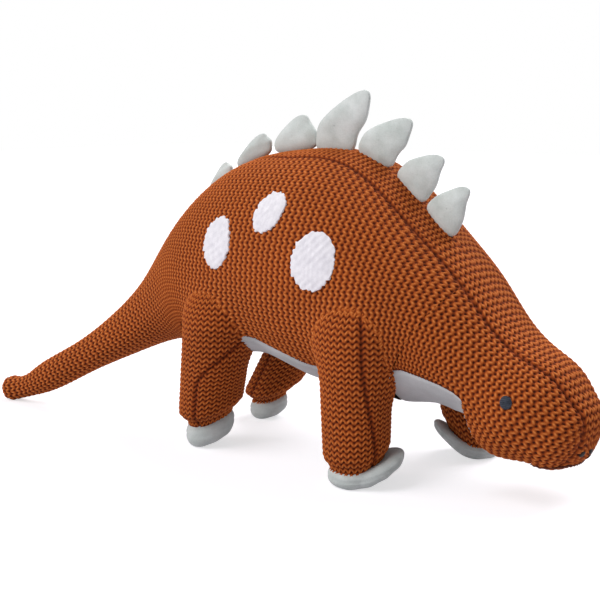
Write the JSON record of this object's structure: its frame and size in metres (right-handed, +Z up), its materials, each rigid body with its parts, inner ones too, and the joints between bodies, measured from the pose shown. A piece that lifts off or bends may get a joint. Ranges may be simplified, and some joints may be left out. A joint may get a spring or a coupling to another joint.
{
  "type": "stuffed dinosaur",
  "caption": "Soft stuffed plated dinosaur with a knitted body, padded back plates, swinging legs with padded feet, nodding head and wagging tail.",
  "frame": {"origin": "on the floor under the middle of the toy, at the centre of its bounding box", "axes": "+X towards the nose, +Y to the left side of the animal, +Z up"},
  "size_m": [0.4764, 0.148, 0.2323],
  "materials": {
    "rust_knit": "wavy-ridged machine knit, matt",
    "grey_velour": "short-pile velour, matt",
    "pale_grey_jersey": "smooth jersey, matt",
    "white_terry": "fluffy terry, matt",
    "slate_embroidery": "satin stitch, soft sheen",
    "dark_embroidery": "satin stitch, soft sheen",
    "rust_thread": "sewing thread, matt",
    "polyester_wadding": "loose fibre filling"
  },
  "bodies": {
    "torso": {"torso_stuffing": "polyester_wadding", "belly_panel": "pale_grey_jersey", "back_gusset_right": "rust_knit", "back_gusset_left": "rust_knit", "torso_side_right": "rust_knit", "torso_side_left": "rust_knit", "spot_right_1": "white_terry", "spot_right_2": "white_terry", "spot_right_3": "white_terry", "spot_left_1": "white_terry", "spot_left_2": "white_terry", "spot_left_3": "white_terry", "neck_sleeve": "rust_knit", "tail_sleeve": "rust_knit"},
    "head": {"head_stuffing": "polyester_wadding", "face_gusset": "rust_knit", "head_side_right": "rust_knit", "head_side_left": "rust_knit", "eye_right": "slate_embroidery", "eye_left": "slate_embroidery", "nostrils": "dark_embroidery", "mouth_stitch": "rust_thread"},
    "tail": {"tail_stuffing": "polyester_wadding", "tail_cover_right": "rust_knit", "tail_cover_left": "rust_knit"},
    "leg_front_right": {"leg_front_right_stuffing": "polyester_wadding", "leg_front_right_outer_panel": "rust_knit", "leg_front_right_inner_panel": "rust_knit", "foot_front_right_cover": "grey_velour", "foot_front_right_wadding": "polyester_wadding"},
    "leg_front_left": {"leg_front_left_stuffing": "polyester_wadding", "leg_front_left_outer_panel": "rust_knit", "leg_front_left_inner_panel": "rust_knit", "foot_front_left_cover": "grey_velour", "foot_front_left_wadding": "polyester_wadding"},
    "leg_rear_right": {"leg_rear_right_stuffing": "polyester_wadding", "leg_rear_right_outer_panel": "rust_knit", "leg_rear_right_inner_panel": "rust_knit", "foot_rear_right_cover": "grey_velour", "foot_rear_right_wadding": "polyester_wadding"},
    "leg_rear_left": {"leg_rear_left_stuffing": "polyester_wadding", "leg_rear_left_outer_panel": "rust_knit", "leg_rear_left_inner_panel": "rust_knit", "foot_rear_left_cover": "grey_velour", "foot_rear_left_wadding": "polyester_wadding"},
    "plate_1": {"plate_1_cover": "grey_velour", "plate_1_wadding": "polyester_wadding"},
    "plate_2": {"plate_2_cover": "grey_velour", "plate_2_wadding": "polyester_wadding"},
    "plate_3": {"plate_3_cover": "grey_velour", "plate_3_wadding": "polyester_wadding"},
    "plate_4": {"plate_4_cover": "grey_velour", "plate_4_wadding": "polyester_wadding"},
    "plate_5": {"plate_5_cover": "grey_velour", "plate_5_wadding": "polyester_wadding"},
    "plate_6": {"plate_6_cover": "grey_velour", "plate_6_wadding": "polyester_wadding"},
    "plate_7": {"plate_7_cover": "grey_velour", "plate_7_wadding": "polyester_wadding"}
  },
  "joints": [
    {"name": "head_nod", "type": "hinge", "parent": "torso", "child": "head", "pos_m": [0.158, 0, 0.075], "axis": [0, 1, 0], "range_deg": [-14, 10], "stiffness_Nm_per_rad": 1.5, "deforming": ["neck_sleeve"]},
    {"name": "tail_wag", "type": "hinge", "parent": "torso", "child": "tail", "pos_m": [-0.097, -0.008, 0.077], "axis": [0, 0, 1], "range_deg": [-20, 20], "stiffness_Nm_per_rad": 0.5, "deforming": ["tail_sleeve"]},
    {"name": "leg_swing_front_right", "type": "hinge", "parent": "torso", "child": "leg_front_right", "pos_m": [0.107, -0.052, 0.088], "axis": [0, 1, 0], "range_deg": [-12, 12], "stiffness_Nm_per_rad": 3},
    {"name": "leg_swing_front_left", "type": "hinge", "parent": "torso", "child": "leg_front_left", "pos_m": [0.107, 0.052, 0.088], "axis": [0, 1, 0], "range_deg": [-12, 12], "stiffness_Nm_per_rad": 3},
    {"name": "leg_swing_rear_right", "type": "hinge", "parent": "torso", "child": "leg_rear_right", "pos_m": [-0.014, -0.052, 0.084], "axis": [0, 1, 0], "range_deg": [-12, 12], "stiffness_Nm_per_rad": 3},
    {"name": "leg_swing_rear_left", "type": "hinge", "parent": "torso", "child": "leg_rear_left", "pos_m": [-0.014, 0.052, 0.084], "axis": [0, 1, 0], "range_deg": [-12, 12], "stiffness_Nm_per_rad": 3},
    {"name": "plate_flop_1", "type": "hinge", "parent": "torso", "child": "plate_1", "pos_m": [-0.05847, 0, 0.16375], "axis": [0.8014, 0, 0.5982], "range_deg": [-35, 35], "stiffness_Nm_per_rad": 0.01},
    {"name": "plate_flop_2", "type": "hinge", "parent": "torso", "child": "plate_2", "pos_m": [-0.03246, 0, 0.1827], "axis": [0.9198, 0, 0.3923], "range_deg": [-35, 35], "stiffness_Nm_per_rad": 0.01},
    {"name": "plate_flop_3", "type": "hinge", "parent": "torso", "child": "plate_3", "pos_m": [0.00052, 0, 0.19503], "axis": [0.9895, 0, 0.1443], "range_deg": [-35, 35], "stiffness_Nm_per_rad": 0.01},
    {"name": "plate_flop_4", "type": "hinge", "parent": "torso", "child": "plate_4", "pos_m": [0.03578, 0, 0.19951], "axis": [1, 0, 0.0066], "range_deg": [-35, 35], "stiffness_Nm_per_rad": 0.01},
    {"name": "plate_flop_5", "type": "hinge", "parent": "torso", "child": "plate_5", "pos_m": [0.06985, 0, 0.19876], "axis": [0.9382, 0, -0.3462], "range_deg": [-35, 35], "stiffness_Nm_per_rad": 0.01},
    {"name": "plate_flop_6", "type": "hinge", "parent": "torso", "child": "plate_6", "pos_m": [0.10061, 0, 0.18412], "axis": [0.7636, 0, -0.6457], "range_deg": [-35, 35], "stiffness_Nm_per_rad": 0.01},
    {"name": "plate_flop_7", "type": "hinge", "parent": "torso", "child": "plate_7", "pos_m": [0.12248, 0, 0.16508], "axis": [0.745, 0, -0.667], "range_deg": [-35, 35], "stiffness_Nm_per_rad": 0.01}
  ]
}
